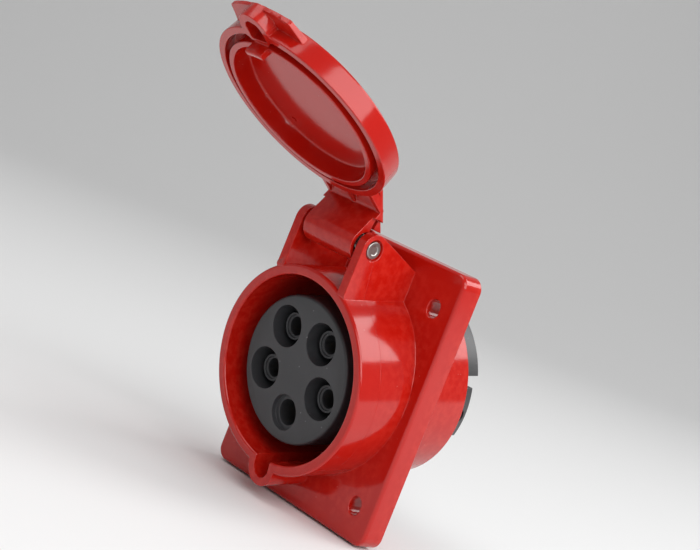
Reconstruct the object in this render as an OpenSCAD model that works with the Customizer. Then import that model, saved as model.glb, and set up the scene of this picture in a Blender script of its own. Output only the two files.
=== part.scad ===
// Angled panel socket with five contacts and a hinged spring lid.
// Millimetres. The panel lies in the plane y = 0, the front looks along -Y, Z is up.
// The socket axis leans down from the panel's normal. The lid is drawn wide open.

/* [Flange] */
// width of the flange on each side of the collar
flange_side = 4.4; // [4.1:0.1:7]
// height of the flange
flange_height = 97; // [95:0.5:104]
// depth of the flange from the panel to its front face
flange_depth = 8.8; // [8:0.1:11]
// radius of the four upright corners
flange_corner_r = 4.5; // [3:0.25:8]
// radius of the rounded front edge
flange_edge_r = 1.4; // [0.5:0.1:2]
// thickness of the front plate over the hollow back
flange_plate = 3.2; // [2.4:0.1:5]
// thickness of the outer skirt beside the seal groove
skirt_wall = 1.6; // [1.2:0.1:1.6]
// thickness of the wall between the seal groove and the hollow back
groove_wall = 1.4; // [1:0.1:2]
// how far the ribs and columns of the hollow back stay off the panel
back_relief = 0.5; // [0.2:0.1:1]
// thickness of the stiffening ribs in the hollow back
back_rib = 1.6; // [1:0.1:2.5]

/* [Fixing slots] */
// distance between the slots across the flange
slot_pitch_x = 61.6; // [58:0.2:63]
// distance between the upper and the lower slots
slot_pitch_z = 70.8; // [66:0.2:74]
// how far the middle of the slot pattern lies below the flange centre
slot_drop = 1.2; // [0:0.1:2.5]
// width of a slot
slot_width = 5.2; // [4.2:0.1:5.6]
// length of a slot from end to end
slot_length = 6.4; // [6:0.1:8]
// chamfer round the front of a slot
slot_chamfer = 0.25; // [0:0.05:0.5]
// wall of the column round a slot in the hollow back
slot_column_wall = 2; // [1.2:0.1:2.4]

/* [Seal] */
// width of the seal groove in the back of the flange
seal_groove_width = 2.2; // [1.6:0.1:2.4]
// thickness of the rubber frame seal
seal_thickness = 2.4; // [1.5:0.1:3]
// space beside the seal in its groove
seal_gap = 0.1; // [0.05:0.05:0.3]

/* [Socket collar] */
// lean of the socket axis below the panel's normal, degrees
collar_tilt = 9.3; // [6:0.1:11]
// distance of the mouth's centre in front of the panel
mouth_reach = 31.4; // [30:0.1:34]
// drop of the mouth's centre below the flange centre
mouth_drop = 3.4; // [2.5:0.1:4.5]
// radius of the plug space inside the collar
shroud_r = 32; // [31.5:0.1:32.4]
// wall of the collar and of the barrel behind the panel
collar_wall = 3.6; // [3:0.1:3.6]
// how far the barrel runs past the back of the terminal carrier's plate
barrel_past_plate = 0.35; // [0.1:0.05:1]
// rounding of the mouth's outer edge
lip_outer_r = 1; // [0.3:0.1:1.4]
// chamfer of the mouth's inner edge
lip_chamfer = 0.5; // [0.2:0.1:1]

/* [Keyway] */
// half the width of the key channel, also its round bottom's radius
key_r = 3.6; // [3:0.1:4]
// distance of the channel's round centre below the socket axis
key_centre = 35.1; // [34.6:0.1:35.6]
// wall of the rib round the key channel
key_wall = 2.9; // [2.2:0.1:3.2]
// depth of the key channel behind the mouth
key_depth = 30; // [26:0.5:32]
// closed end of the rib behind the channel
key_end_wall = 3; // [2:0.5:4]

/* [Shoulder inside the barrel] */
// depth of the shoulder's front face behind the mouth
shoulder_depth = 40; // [38:0.5:41]
// thickness of the shoulder
shoulder_thickness = 6; // [5:0.1:6.5]
// number of screws that hold the terminal carrier
carrier_screw_count = 3; // [3:1:3]
// radius of the circle that the carrier screws stand on
carrier_screw_circle = 28.7; // [28.4:0.1:29]
// shank radius of a carrier screw
carrier_screw_r = 1.5; // [1.2:0.1:1.6]
// length of a carrier screw under its head
carrier_screw_length = 9.6; // [8:0.1:10]
// head radius of a carrier screw
carrier_head_r = 2.5; // [2.2:0.1:2.6]
// head height of a carrier screw
carrier_head_height = 1.8; // [1.2:0.1:2.2]

/* [Contact insert] */
// radius of the insert that carries the contacts
insert_r = 25.3; // [25:0.1:25.6]
// depth of the insert's face behind the mouth
insert_depth = 3.9; // [3:0.1:6]
// rounding of the insert's front edge
insert_edge_r = 1; // [0.4:0.1:1.5]
// width of the rim behind the shoulder
insert_rim = 1.6; // [1:0.1:1.8]
// thickness of the rim behind the shoulder
insert_rim_thickness = 2; // [1.8:0.1:2.4]
// space between the insert and the shoulder round it
insert_gap = 0.25; // [0.1:0.05:0.4]
// radius of the circle that the five contacts stand on
contact_circle = 15.3; // [15:0.1:15.6]
// radius of the wide hole over a line contact
line_recess_r = 7.15; // [6.8:0.05:7.3]
// depth of the wide hole below the insert's face
line_recess_depth = 10.1; // [9:0.1:10.6]
// radius of the sleeve that stands in the wide hole
line_sleeve_r = 4.7; // [4.4:0.1:5]
// depth of the sleeve's top below the insert's face
line_sleeve_depth = 3.6; // [3:0.1:4.5]
// radius of the step in the sleeve's top
line_step_r = 3.9; // [3.5:0.1:4.1]
// depth of that step
line_step_depth = 0.8; // [0.4:0.1:1.2]
// radius of the hole that guides a line pin
line_guide_r = 3.15; // [3.1:0.05:3.3]
// radius of the wide hole over the earth contact
earth_recess_r = 6.1; // [5.8:0.1:6.6]
// depth of the earth contact's wide hole
earth_recess_depth = 2; // [1:0.1:3]
// radius of the hole that guides the earth pin
earth_guide_r = 4.4; // [4.1:0.1:4.6]
// draft of the guides and steps, as what they widen by towards the front
hole_draft = 0.06; // [0.02:0.01:0.1]

/* [Contacts] */
// bore radius of a line contact, for a 6 mm pin
line_bore_r = 3.03; // [3.01:0.01:3.08]
// bore radius of the earth contact, for an 8 mm pin
earth_bore_r = 4.03; // [4.01:0.01:4.08]
// wall of a contact sleeve
contact_wall = 1.27; // [1.1:0.01:1.35]
// depth of a line contact's front end below the insert's face
line_contact_depth = 11.3; // [11.1:0.1:12]
// depth of the earth contact's front end below the insert's face
earth_contact_depth = 10.4; // [10:0.1:11]
// length of the bore that takes the pin
contact_bore_length = 22; // [20:0.5:24]
// width of the slits that let the sleeve spring
slit_width = 0.6; // [0.4:0.1:0.9]
// length of the slits
slit_length = 17; // [14:0.5:19]
// radius of the round tail that takes the wire
tail_r = 4.3; // [4.1:0.1:4.4]
// radius of the wire hole in the tail
wire_hole_r = 2.6; // [2.3:0.1:2.7]
// depth of the wire hole
wire_hole_depth = 8.8; // [8:0.1:8.9]
// width of the collar that the carrier clamps
contact_collar = 0.9; // [0.6:0.1:1]
// thickness of that collar
contact_collar_thickness = 1.4; // [1:0.1:1.6]
// space round a contact in its hole
contact_gap = 0.1; // [0.05:0.05:0.15]
// distance of the spring ring's groove from the contact's front end
ring_setback = 3; // [2:0.1:5]
// width of the spring ring along the contact
ring_width = 1.8; // [1.2:0.1:2.4]
// depth of the spring ring's groove
ring_groove = 0.45; // [0.35:0.05:0.5]
// space round the spring ring in its groove
ring_gap = 0.05; // [0.03:0.01:0.08]
// width of the opening in the spring ring
ring_opening = 1.2; // [0.8:0.1:2]

/* [Terminal carrier] */
// space between the carrier and the barrel
carrier_gap = 0.2; // [0.1:0.05:0.3]
// thickness of the carrier's plate behind the shoulder
carrier_plate = 5; // [4.6:0.1:5.2]
// height of the two upper terminal towers over the plate
upper_tower_height = 9.4; // [8.5:0.1:11]
// height of the side and lower terminal towers over the plate
side_tower_height = 7.2; // [7:0.1:8.5]
// lower edge of the upper towers above the socket axis
upper_tower_low = 9.5; // [9:0.1:10]
// upper edge of the upper towers above the socket axis
upper_tower_high = 25; // [24:0.1:25.4]
// half the space between the two upper towers
upper_tower_split = 2.2; // [1:0.1:2.6]
// lower edge of the side towers, below the socket axis
side_tower_low = 13; // [12:0.1:13.5]
// upper edge of the side towers above the socket axis
side_tower_high = 5.5; // [5:0.1:6]
// inner side of the side towers from the middle
side_tower_inner = 8.6; // [8.4:0.1:9]
// half the width of the lower tower
earth_tower_half = 7.4; // [7:0.1:7.8]
// wall round the tail of a contact
tower_wall = 1.6; // [1.4:0.1:1.7]
// radius of the funnel for a wire in a tower's back, at its narrow end
wire_entry_r = 2.8; // [2.6:0.1:3]
// flare of that funnel towards the back
wire_entry_flare = 0.7; // [0.3:0.1:1]
// height of the terminal screws' axes over the plate
terminal_screw_height = 3.3; // [3.2:0.1:3.4]
// shank radius of a terminal screw
terminal_screw_r = 1.95; // [1.6:0.05:2]
// shank length of a terminal screw
terminal_screw_length = 3.4; // [3:0.1:3.8]
// distance of an open screw's tip from the wire hole
terminal_open = 0.15; // [0.1:0.05:0.3]
// head radius of a terminal screw
terminal_head_r = 2.4; // [2.2:0.1:2.5]
// head height of a terminal screw
terminal_head_height = 2; // [1.5:0.1:2.5]
// radius of the screwdriver hole over a terminal screw
driver_hole_r = 2.8; // [2.7:0.05:2.85]
// width of the slot in a screw head
screw_slot = 0.8; // [0.6:0.1:1]

/* [Hinge] */
// height of the hinge pin above the socket axis, along the mouth
hinge_rise = 47.96; // [47.5:0.1:49]
// distance of the hinge pin behind the mouth plane
hinge_setback = 8.37; // [8:0.1:9]
// inner face of an ear from the middle
ear_inner = 13.9; // [13.8:0.1:14.4]
// thickness of an ear
ear_thickness = 3.6; // [3:0.1:4.2]
// radius of the ear round the pin
ear_r = 5.4; // [5:0.1:5.8]
// fall of the ear's rear edge, degrees
ear_slope = 21; // [16:0.5:24]
// radius of the hinge pin
pin_r = 2; // [1.8:0.05:2.1]
// running space round the hinge pin
pin_gap = 0.05; // [0.02:0.01:0.1]
// radius of the riveted pin head
pin_head_r = 3; // [2.7:0.05:3.1]
// height of the riveted pin head
pin_head_height = 1; // [0.6:0.1:1.1]
// radius of the recess round the pin head
pin_recess_r = 3.6; // [3.4:0.05:3.9]
// depth of the recess round the pin head
pin_recess_depth = 1.2; // [1:0.1:1.4]

/* [Lid] */
// forward lean of the open lid from upright, degrees
lid_lean = 58.1; // [50:0.1:64]
// space between the closed lid and the mouth
lid_gap = 0.3; // [0.2:0.05:0.5]
// set back of the lid's rim from the collar's outer radius
lid_inset = 0.5; // [0.2:0.1:0.8]
// thickness of the lid from its rim to its back
lid_thickness = 7.9; // [7:0.1:9]
// draft of the lid's skirt from rim to back
lid_draft = 0.4; // [0:0.1:0.8]
// rounding of the lid's back edge
lid_back_edge = 0.9; // [0.4:0.1:1.2]
// rounding of the lid's rim
lid_rim_edge = 0.4; // [0.2:0.1:0.6]
// width of the flat rim
lid_rim_width = 2.7; // [2.2:0.1:3]
// width of the groove inside the rim
lid_groove_width = 2.5; // [2:0.1:2.8]
// depth of the groove inside the rim
lid_groove_depth = 4.5; // [3:0.1:5]
// width of the inner ring at its top
lid_ring_width = 2.1; // [1.6:0.1:2.6]
// height of the inner ring above the rim plane
lid_ring_height = 0.8; // [0.3:0.1:1.2]
// depth of the lid's floor at its edge below the rim plane
lid_floor_depth = 5.5; // [4.5:0.1:5.7]
// taper of the inner ring's wall down to the floor
lid_ring_taper = 0.8; // [0.2:0.1:1.2]
// rounding of the edges of the inner ring
lid_ring_edge = 0.35; // [0.1:0.05:0.5]
// dish of the lid's floor towards the middle
lid_dish = 0.4; // [0:0.1:0.6]
// radius of the injection mark on the floor
gate_r = 1; // [0.6:0.1:1.4]
// height of the injection mark
gate_height = 0.3; // [0.1:0.05:0.5]
// distance of the injection mark from the middle, to the left
gate_left = 18.1; // [10:0.1:20]
// distance of the injection mark from the middle, towards the hinge
gate_down = 14.1; // [5:0.1:16]

/* [Lid nose] */
// outer half width of the nose over the key channel
nose_r = 6.4; // [6:0.1:6.8]
// wall of the nose
nose_wall = 2.8; // [2.4:0.1:3.2]
// distance of the nose's tip inside the key rib's bottom
nose_inset = 0; // [0:0.1:0.6]
// half the width of the latch tooth
tooth_half = 3.9; // [3:0.1:4.2]
// height of the latch tooth above the rim plane
tooth_height = 4.3; // [3.5:0.1:5]
// bevel on the end of the latch tooth
tooth_bevel = 0.5; // [0.2:0.1:0.8]

/* [Thumb wing] */
// radius of the wing's outer edge
wing_r = 41; // [40:0.1:42]
// half the wing's width at its outer edge
wing_tip_half = 13.8; // [12:0.1:15]
// half the wing's width at the skirt
wing_root_half = 16; // [15:0.1:18]
// distance of the wing's front below the rim plane
wing_front = 4.2; // [3.8:0.1:4.6]
// thickness of the wing's outer edge
wing_tip_thickness = 1.4; // [1:0.1:2]
// thickness of the wing at the skirt
wing_root_thickness = 2.5; // [2.2:0.1:2.7]
// rounding of the wing's corners
wing_corner_r = 1.2; // [0.5:0.1:2]

/* [Hinge arm] */
// radius of the hinge barrel
knuckle_r = 6; // [5.6:0.1:6.2]
// half the length of the hinge barrel
knuckle_half = 12.2; // [12:0.1:12.6]
// half the width of the arm
arm_half = 13.4; // [13:0.1:13.5]
// radius of the cheeks' step round the pin
cheek_r = 9.6; // [9.4:0.1:10]
// radius at which the arm's back passes the pin
arm_back_r = 7.3; // [7:0.1:7.6]
// length of the arm's flat back from the skirt to the point nearest the pin
arm_back_length = 19.3; // [18.8:0.1:19.8]
// distance of the arm's heel from the point nearest the pin
arm_heel = 2.3; // [1.5:0.1:3]
// slope of the arm's back towards the pin, degrees
arm_slope = 29.1; // [27:0.1:31]
// height of the ribs' edge below the rim plane
arm_rib_depth = 1.6; // [1:0.1:2]
// depth of the pockets beside the skirt below the rim plane
pocket_outer = 5.3; // [4.8:0.1:5.5]
// depth of the pockets at the barrel below the rim plane
pocket_inner = 2.3; // [2.2:0.1:3]
// thickness of the two outer ribs
arm_rib = 1.9; // [1.4:0.1:2.4]
// thickness of the middle rib
arm_mid_rib = 2; // [1.4:0.1:2.4]

/* [Lid spring] */
// radius of the pocket for the spring in the hinge barrel
spring_pocket_r = 4.6; // [4.5:0.05:4.7]
// depth of that pocket
spring_pocket_depth = 7.8; // [7:0.1:9]
// radius of the spring wire
wire_r = 0.5; // [0.4:0.05:0.55]
// middle radius of the coil
coil_r = 3.4; // [3.2:0.05:3.5]
// number of coils, whole turns and the part turn between the two ends
coil_turns = 5.35; // [5.05:0.05:5.45]
// space between the coils
coil_space = 0.2; // [0.12:0.02:0.24]
// reach of the spring's leg from the pin's axis
leg_reach = 8.8; // [8:0.1:9]
// far end of the leg's slot from the pin's axis
leg_slot_reach = 9.3; // [9.2:0.1:9.5]
// direction of the leg's slot from the pin, from the lid's free end, degrees
leg_angle = -66.8; // [-70:0.1:-62]
// space beside the leg in its slot
leg_gap = 0.1; // [0.05:0.05:0.15]
// depth of the tang's hole in the ear
tang_hole_depth = 1.6; // [1.2:0.1:1.7]

/* [Hidden] */
red = [0.72, 0.07, 0.04];
dark = [0.2, 0.2, 0.21];
grey = [0.36, 0.36, 0.37];
brass = [0.78, 0.66, 0.36];
steel = [0.72, 0.72, 0.72];
rubber = [0.08, 0.08, 0.08];
eps = 0.01;
mouth_y = -mouth_reach;
mouth_z = -mouth_drop;
collar_r = shroud_r + collar_wall;
flange_width = 2 * (collar_r + flange_side);
key_outer_r = key_r + key_wall;
key_rib_bottom = key_centre + key_outer_r;
tray_depth = flange_depth - flange_plate;
groove_out = skirt_wall;
groove_in = skirt_wall + seal_groove_width;
tray_in = groove_in + groove_wall;
slot_column_r = slot_length / 2 + slot_column_wall;
shoulder_back = shoulder_depth + shoulder_thickness;
shoulder_r = insert_r + insert_gap;
rim_r = insert_r + insert_rim;
insert_back = shoulder_back + insert_rim_thickness;
carrier_plate_depth = shoulder_back + carrier_plate;
upper_tower_depth = carrier_plate_depth + upper_tower_height;
side_tower_depth = carrier_plate_depth + side_tower_height;
terminal_screw_depth = carrier_plate_depth + terminal_screw_height;
barrel_depth = carrier_plate_depth + barrel_past_plate;
carrier_r = shroud_r - carrier_gap;
line_sleeve_out = line_bore_r + contact_wall;
earth_sleeve_out = earth_bore_r + contact_wall + 0.1;
tail_end = side_tower_depth - 1.2;
line_front = insert_depth + line_contact_depth;
earth_front = insert_depth + earth_contact_depth;
pin_y = mouth_y - hinge_rise * sin(collar_tilt) + hinge_setback * cos(collar_tilt);
pin_z = mouth_z + hinge_rise * cos(collar_tilt) + hinge_setback * sin(collar_tilt);
ear_outer = ear_inner + ear_thickness;
pin_end = ear_outer - pin_recess_depth;
lid_pin_h = hinge_setback + lid_gap;
lid_rim_r = collar_r - lid_inset;
lid_skirt_r = lid_rim_r - lid_draft;
groove_outer_r = lid_rim_r - lid_rim_width;
ring_outer_r = groove_outer_r - lid_groove_width;
ring_inner_r = ring_outer_r - lid_ring_width;
floor_r = ring_inner_r - lid_ring_taper;
nose_tip = key_rib_bottom - nose_inset;
nose_centre = nose_tip - nose_r;
nose_inner_r = nose_r - nose_wall;
spring_pitch = 2 * wire_r + coil_space;
spring_start = knuckle_half - spring_pocket_depth + wire_r + 0.15;
coil_length = coil_turns * spring_pitch;
tang_end = ear_inner + tang_hole_depth - 0.2;
leg_world = 90 + lid_lean + leg_angle;
tang_world = leg_world + 360 * coil_turns;
line_angles = [198, 126, 54, -18];
carrier_screw_angles = [90, -48, 228];
$fn = 72;

// points of an arc, from angle a0 to a1
function arc(cx, cy, r, a0, a1, n = 6) =
    [for (i = [0 : n]) [cx + r * cos(a0 + (a1 - a0) * i / n), cy + r * sin(a0 + (a1 - a0) * i / n)]];

// place in the upright plane of a point of the tilted socket: up along the mouth, out of the mouth
function socket_point(up, out) =
    [mouth_y - up * sin(collar_tilt) - out * cos(collar_tilt),
     mouth_z + up * cos(collar_tilt) - out * sin(collar_tilt)];

// how far out of the mouth a point at a height along the mouth lies, from its distance to the panel
function out_at(y, up) = -(y - mouth_y + up * sin(collar_tilt)) / cos(collar_tilt);

// point where a line from p touches the circle round c, on the side given by side
function touch_point(p, c, r, side) =
    let (d = norm(p - c), a = atan2(p[1] - c[1], p[0] - c[0]) + side * acos(r / d))
    c + r * [cos(a), sin(a)];

// frame of the tilted socket: x across, y up along the mouth, z out of the mouth
module socket_frame() {
    translate([0, mouth_y, mouth_z])
        rotate([90 + collar_tilt, 0, 0])
            children();
}

// the same frame moved to a contact, with x pointing from the axis to the contact's screw
module contact_frame(angle, turn) {
    socket_frame()
        translate([contact_circle * cos(angle), contact_circle * sin(angle), 0])
            rotate([0, 0, turn])
                children();
}

// frame of the open lid: x across, y from its middle to its free end, z towards its inside
module lid_frame() {
    translate([0, pin_y, pin_z])
        rotate([90 + lid_lean, 0, 0])
            translate([0, hinge_rise, -lid_pin_h])
                children();
}

// frame of the hinge pin: z along the pin
module hinge_frame() {
    translate([0, pin_y, pin_z])
        rotate([90, 0, 90])
            children();
}

// cylinder between two depths behind the mouth, in the socket frame
module bore(r, front, back) {
    translate([0, 0, -back])
        cylinder(h = back - front, r = r);
}

// hole between two depths behind the mouth that widens towards the front
module drafted_bore(r, front, back) {
    translate([0, 0, -back])
        cylinder(h = back - front, r1 = r, r2 = r + hole_draft);
}

// outline of the flange, grown or shrunk
module flange_outline(grow) {
    offset(r = flange_corner_r + grow, $fn = 48)
        square([flange_width - 2 * flange_corner_r, flange_height - 2 * flange_corner_r], center = true);
}

// section of the flange with its two rounded front edges
module flange_section(width) {
    polygon(concat(
        [[-width / 2, 0], [width / 2, 0]],
        arc(width / 2 - flange_edge_r, flange_depth - flange_edge_r, flange_edge_r, 0, 90, 8),
        arc(-width / 2 + flange_edge_r, flange_depth - flange_edge_r, flange_edge_r, 90, 180, 8)));
}

// flange block with rounded corners and front edges, z forward from the panel
module flange_block() {
    long = flange_height - 2 * flange_corner_r;
    wide = flange_width - 2 * flange_corner_r;
    rotate([90, 0, 0])
        translate([0, 0, -long / 2])
            linear_extrude(long)
                flange_section(flange_width);
    rotate([90, 0, 90])
        translate([0, 0, -wide / 2])
            linear_extrude(wide)
                flange_section(flange_height);
    for (x = [-1, 1], y = [-1, 1])
        translate([x * wide / 2, y * long / 2, 0])
            rotate_extrude($fn = 48)
                intersection() {
                    flange_section(2 * flange_corner_r);
                    square([flange_corner_r + 1, flange_depth + 1]);
                }
}

// places its children at the four slots, z forward from the panel
module at_slots() {
    for (x = [-1, 1], y = [-1, 1])
        translate([x * slot_pitch_x / 2, y * slot_pitch_z / 2 - slot_drop, 0])
            children();
}

// round-ended slot, upright
module slot(r, length, height) {
    for (s = [-1, 1])
        translate([0, s * (length / 2 - r), 0])
            cylinder(h = height, r = r, $fn = 32);
    translate([-r, -(length / 2 - r), 0])
        cube([2 * r, length - 2 * r, height]);
}

// the flange with its hollow back, seal groove and slots
module flange() {
    rotate([90, 0, 0])
        difference() {
            flange_block();
            translate([0, 0, -1])
                linear_extrude(1 + seal_thickness)
                    difference() {
                        flange_outline(-groove_out);
                        flange_outline(-groove_in);
                    }
            translate([0, 0, -1])
                linear_extrude(1 + back_relief)
                    flange_outline(-(groove_out + groove_in) / 2);
            translate([0, 0, -1])
                linear_extrude(1 + tray_depth)
                    difference() {
                        flange_outline(-tray_in);
                        at_slots()
                            circle(r = slot_column_r, $fn = 40);
                        square([flange_width, back_rib], center = true);
                        square([back_rib, flange_height], center = true);
                    }
            translate([0, 0, -1])
                at_slots()
                    slot(slot_width / 2, slot_length, flange_depth + 2);
            at_slots()
                translate([0, 0, flange_depth])
                    slot_mouth();
        }
}

// chamfer of a slot's front edge
module slot_mouth() {
    r = slot_width / 2;
    for (s = [-1, 1])
        translate([0, s * (slot_length / 2 - r), -slot_chamfer])
            cylinder(h = slot_chamfer + eps, r1 = r, r2 = r + slot_chamfer + eps, $fn = 32);
    rotate([90, 0, 0])
        translate([0, 0, -(slot_length / 2 - r)])
            linear_extrude(slot_length - 2 * r)
                polygon([[-r, -slot_chamfer], [r, -slot_chamfer],
                         [r + slot_chamfer + eps, eps], [-r - slot_chamfer - eps, eps]]);
}

// outside of the collar and the barrel, in the socket frame
module collar_outside() {
    rotate_extrude($fn = 144)
        polygon(concat(
            [[0, -barrel_depth], [collar_r, -barrel_depth]],
            arc(collar_r - lip_outer_r, -lip_outer_r, lip_outer_r, 0, 90, 6),
            [[0, 0]]));
}

// rib below the collar that holds the key channel, in the socket frame
module key_rib() {
    length = key_depth + key_end_wall;
    translate([0, -key_centre, -length])
        cylinder(h = length, r = key_outer_r, $fn = 64);
    translate([-key_outer_r, -key_centre, -length])
        cube([2 * key_outer_r, key_centre - shroud_r + 6, length]);
}

// key channel, open to the plug space
module key_channel() {
    translate([0, -key_centre, -key_depth])
        cylinder(h = key_depth + 1, r = key_r, $fn = 48);
    translate([-key_r, -key_centre, -key_depth])
        cube([2 * key_r, key_centre - insert_r, key_depth + 1]);
}

// outline of an ear, in the upright plane
module ear_outline() {
    pin = [pin_y, pin_z];
    mid = (ear_inner + ear_outer) / 2;
    foot_up = sqrt(collar_r * collar_r - mid * mid);
    root_up = foot_up - 2.4;
    foot = socket_point(foot_up, 0);
    root = socket_point(root_up, -1);
    front = touch_point(foot, pin, ear_r, -1);
    rear = pin + ear_r * [sin(ear_slope), cos(ear_slope)];
    y_in = -flange_depth + 2;
    rear_low = [y_in, rear[1] - (y_in - rear[0]) * tan(ear_slope)];
    back = socket_point(root_up, out_at(y_in, root_up));
    polygon([root, foot, front, pin, rear, rear_low, back]);
    translate(pin)
        circle(r = ear_r, $fn = 64);
}

// the two ears that carry the hinge pin
module ears() {
    for (s = [-1, 1])
        translate([s > 0 ? ear_inner : -ear_outer, 0, 0])
            rotate([90, 0, 90])
                linear_extrude(ear_thickness)
                    ear_outline();
}

// holes for the hinge pin, its heads and the spring's tang
module ear_holes() {
    hinge_frame()
        translate([0, 0, -ear_outer - 1])
            cylinder(h = 2 * ear_outer + 2, r = pin_r + pin_gap, $fn = 48);
    for (s = [-1, 1])
        hinge_frame()
            translate([0, 0, s > 0 ? pin_end : -ear_outer - 1])
                cylinder(h = pin_recess_depth + 1, r = pin_recess_r, $fn = 48);
    hinge_frame()
        rotate([0, 0, tang_world])
            translate([coil_r, 0, ear_inner - 1])
                cylinder(h = tang_hole_depth + 1, r = wire_r + leg_gap, $fn = 24);
}

// moulded housing: flange, tilted collar, key rib, ears and barrel in one piece
module housing() {
    color(red)
        difference() {
            union() {
                flange();
                socket_frame()
                    collar_outside();
                socket_frame()
                    key_rib();
                ears();
            }
            socket_frame() {
                translate([0, 0, -shoulder_depth])
                    cylinder(h = shoulder_depth + 1, r = shroud_r, $fn = 144);
                translate([0, 0, -lip_chamfer])
                    cylinder(h = lip_chamfer + eps, r1 = shroud_r, r2 = shroud_r + lip_chamfer + eps, $fn = 144);
                bore(shoulder_r, shoulder_depth - 1, shoulder_back + 1, $fn = 96);
                translate([0, 0, -barrel_depth - 1])
                    cylinder(h = barrel_depth + 1 - shoulder_back, r = shroud_r, $fn = 144);
                key_channel();
                at_carrier_screws()
                    bore(carrier_screw_r + 0.05, carrier_plate_depth - carrier_screw_length - 0.2,
                         shoulder_back + 1, $fn = 24);
            }
            ear_holes();
        }
}

// rubber frame in the back of the flange
module flange_seal() {
    color(rubber)
        rotate([90, 0, 0])
            linear_extrude(seal_thickness)
                difference() {
                    flange_outline(-groove_out - seal_gap);
                    flange_outline(-groove_in + seal_gap);
                }
}

// hole in the insert for one line contact
module line_hole() {
    drafted_bore(line_guide_r, insert_depth, line_front, $fn = 48);
    drafted_bore(line_step_r, insert_depth, insert_depth + line_sleeve_depth + line_step_depth, $fn = 48);
    difference() {
        bore(line_recess_r, insert_depth - 1, insert_depth + line_recess_depth);
        bore(line_sleeve_r, insert_depth + line_sleeve_depth, insert_depth + line_recess_depth + 1);
    }
    bore(line_sleeve_out + contact_gap, line_front - 0.2, insert_back + 1);
    bore(tail_r + contact_collar + contact_gap, insert_back - contact_collar_thickness - 0.1, insert_back + 1);
}

// hole in the insert for the earth contact
module earth_hole() {
    drafted_bore(earth_guide_r, insert_depth - 1, earth_front, $fn = 64);
    bore(earth_recess_r, insert_depth - 1, insert_depth + earth_recess_depth);
    bore(earth_sleeve_out + contact_gap, earth_front - 0.2, insert_back + 1);
    bore(earth_sleeve_out + contact_collar + contact_gap, insert_back - contact_collar_thickness - 0.1,
         insert_back + 1);
}

// dark insert with the five stepped holes
module contact_insert() {
    color(dark)
        difference() {
            socket_frame()
                rotate_extrude($fn = 120)
                    polygon(concat(
                        [[0, -insert_back], [rim_r, -insert_back], [rim_r, -shoulder_back],
                         [insert_r, -shoulder_back]],
                        arc(insert_r - insert_edge_r, -insert_depth - insert_edge_r, insert_edge_r, 0, 90, 6),
                        [[0, -insert_depth]]));
            for (a = line_angles)
                contact_frame(a, 0)
                    line_hole();
            contact_frame(-90, 0)
                earth_hole();
        }
}

// places its children at the screws of the terminal carrier
module at_carrier_screws() {
    for (i = [0 : carrier_screw_count - 1])
        rotate([0, 0, carrier_screw_angles[i]])
            translate([carrier_screw_circle, 0, 0])
                children();
}

// flat shape of the two upper towers
module upper_tower_outline() {
    for (s = [-1, 1])
        intersection() {
            circle(r = carrier_r, $fn = 120);
            translate([s > 0 ? upper_tower_split : -carrier_r - upper_tower_split, upper_tower_low])
                square([carrier_r, upper_tower_high - upper_tower_low]);
        }
    for (a = [126, 54])
        translate([contact_circle * cos(a), contact_circle * sin(a)])
            circle(r = tail_r + tower_wall);
}

// flat shape of the two side towers and the lower tower
module side_tower_outline() {
    for (s = [-1, 1])
        intersection() {
            circle(r = carrier_r, $fn = 120);
            translate([s > 0 ? side_tower_inner : -carrier_r - side_tower_inner, -side_tower_low])
                square([carrier_r, side_tower_low + side_tower_high]);
        }
    intersection() {
        circle(r = carrier_r, $fn = 120);
        translate([-earth_tower_half, -carrier_r])
            square([2 * earth_tower_half, carrier_r - contact_circle + tail_r + tower_wall]);
    }
}

// space for a contact's tail, its wire and its screw in a tower
module tower_hole() {
    bore(tail_r + contact_gap, shoulder_back, tail_end + 0.1);
    translate([0, 0, -upper_tower_depth])
        cylinder(h = upper_tower_depth - tail_end, r1 = wire_entry_r + wire_entry_flare, r2 = wire_entry_r,
                 $fn = 40);
    translate([0, 0, -terminal_screw_depth])
        rotate([0, 90, 0])
            cylinder(h = carrier_r, r = driver_hole_r, $fn = 40);
}

// turn of each contact's screw, from the contact's angle
function screw_turn(a) = a == 198 ? 180 : a == -18 ? 0 : a == -90 ? -90 : 90;

// grey terminal carrier with five towers
module terminal_carrier() {
    color(grey)
        difference() {
            socket_frame() {
                bore(carrier_r, shoulder_back, carrier_plate_depth, $fn = 120);
                translate([0, 0, -upper_tower_depth])
                    linear_extrude(upper_tower_depth - carrier_plate_depth + 1)
                        upper_tower_outline();
                translate([0, 0, -side_tower_depth])
                    linear_extrude(side_tower_depth - carrier_plate_depth + 1)
                        side_tower_outline();
            }
            socket_frame() {
                bore(rim_r + carrier_gap, shoulder_back - 1, insert_back, $fn = 96);
                at_carrier_screws()
                    bore(carrier_screw_r + carrier_gap, shoulder_back - 1, carrier_plate_depth + 1, $fn = 24);
            }
            for (a = concat(line_angles, [-90]))
                contact_frame(a, screw_turn(a))
                    tower_hole();
        }
}

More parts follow.
